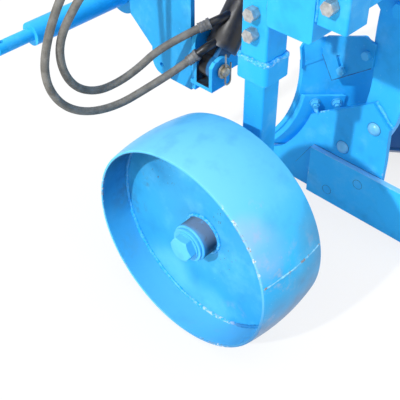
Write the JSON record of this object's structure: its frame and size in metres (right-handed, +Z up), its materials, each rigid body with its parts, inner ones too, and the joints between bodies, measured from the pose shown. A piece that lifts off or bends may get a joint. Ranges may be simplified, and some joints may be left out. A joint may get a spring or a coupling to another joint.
{
  "type": "reversible plough",
  "caption": "Mounted reversible plough: right- and left-turning bodies on a cross beam that a hydraulic cylinder turns over, with steel-drum depth wheels on sliding legs.",
  "frame": {"origin": "on the ground, in the middle of the plough's box seen from above", "axes": "+Y is the direction of travel, +X is the right-hand side, +Z is up"},
  "size_m": [0.95, 0.8897, 1.4],
  "materials": {
    "blue_paint": "sky-blue gloss paint, scuffed, with bare nicks on the wheel rim",
    "zinc": "zinc-plated, dull",
    "bronze": "turned bronze",
    "coupling_steel": "machined steel",
    "black_paint": "black satin paint",
    "chrome_rod": "ground hard chrome",
    "hose_rubber": "matt grey hose cover"
  },
  "bodies": {
    "headstock": {"left_cheek_plate": "blue_paint", "right_cheek_plate": "blue_paint", "hitch_bar": "blue_paint", "mast": "blue_paint", "headstock_top_plate": "blue_paint", "headstock_rear_plate": "blue_paint", "lower_cross_plate": "blue_paint", "bearing_tube": "blue_paint", "bearing_bushes": "bronze", "cylinder_bracket": "blue_paint", "cylinder_base_pin": "zinc", "base_pin_clip": "zinc", "hose_couplings": "coupling_steel", "stop_bolts": "zinc", "lower_hose": "hose_rubber", "upper_hose": "hose_rubber"},
    "turnover": {"turnover_shaft": "blue_paint", "crank_arm": "blue_paint", "cross_beam": "blue_paint", "shank_carrier": "blue_paint", "lower_wheel_sleeve": "blue_paint", "upper_wheel_sleeve": "blue_paint", "lower_sleeve_collar": "blue_paint", "upper_sleeve_collar": "blue_paint", "clamp_bolts": "zinc", "frog_bolts": "blue_paint", "landside_bolts": "blue_paint", "body_nuts": "blue_paint", "shank_bolts": "blue_paint", "lower_shank": "blue_paint", "lower_frog": "blue_paint", "lower_frog_stay": "blue_paint", "lower_mouldboard": "blue_paint", "lower_shin": "blue_paint", "lower_share": "blue_paint", "lower_landside": "blue_paint", "lower_trash_board": "blue_paint", "lower_trash_bracket": "blue_paint", "upper_shank": "blue_paint", "upper_frog": "blue_paint", "upper_frog_stay": "blue_paint", "upper_mouldboard": "blue_paint", "upper_shin": "blue_paint", "upper_share": "blue_paint", "upper_landside": "blue_paint", "upper_trash_board": "blue_paint", "upper_trash_bracket": "blue_paint"},
    "cylinder": {"cylinder_barrel": "black_paint", "cylinder_gland": "black_paint"},
    "rod": {"piston_rod": "chrome_rod"},
    "lower_leg": {"lower_wheel_leg": "blue_paint", "lower_axle_nut": "blue_paint"},
    "lower_wheel": {"lower_wheel_drum": "blue_paint", "lower_wheel_disc": "blue_paint", "lower_wheel_hub": "blue_paint"},
    "upper_leg": {"upper_wheel_leg": "blue_paint", "upper_axle_nut": "blue_paint"},
    "upper_wheel": {"upper_wheel_drum": "blue_paint", "upper_wheel_disc": "blue_paint", "upper_wheel_hub": "blue_paint"}
  },
  "joints": [
    {"name": "turnover", "type": "hinge", "parent": "headstock", "child": "turnover", "pos_m": [0, 0.0169, 0.7], "axis": [0, 1, 0], "range_deg": [0, 180]},
    {"name": "cylinder_swing", "type": "hinge", "parent": "headstock", "child": "cylinder", "pos_m": [-0.123, 0.1359, 0.448], "axis": [0, 1, 0], "range_deg": [-30, 0], "deforming": ["lower_hose", "upper_hose"]},
    {"name": "rod_slide", "type": "slide", "parent": "cylinder", "child": "rod", "axis": [0.6559, 0, 0.7548], "range_m": [-0.0848, 0]},
    {"name": "lower_leg_slide", "type": "slide", "parent": "turnover", "child": "lower_leg", "axis": [0, 0, 1], "range_m": [-0.05, 0.2]},
    {"name": "upper_leg_slide", "type": "slide", "parent": "turnover", "child": "upper_leg", "axis": [0, 0, -1], "range_m": [-0.05, 0.2]},
    {"name": "lower_wheel_spin", "type": "hinge", "parent": "lower_leg", "child": "lower_wheel", "pos_m": [-0.3375, -0.0491, 0.233], "axis": [1, 0, 0], "continuous": true},
    {"name": "upper_wheel_spin", "type": "hinge", "parent": "upper_leg", "child": "upper_wheel", "pos_m": [-0.3375, -0.2119, 1.167], "axis": [1, 0, 0], "continuous": true}
  ],
  "couplings": [
    {"joint": "cylinder_swing", "follows": "turnover", "ratio": -0.16638}
  ]
}
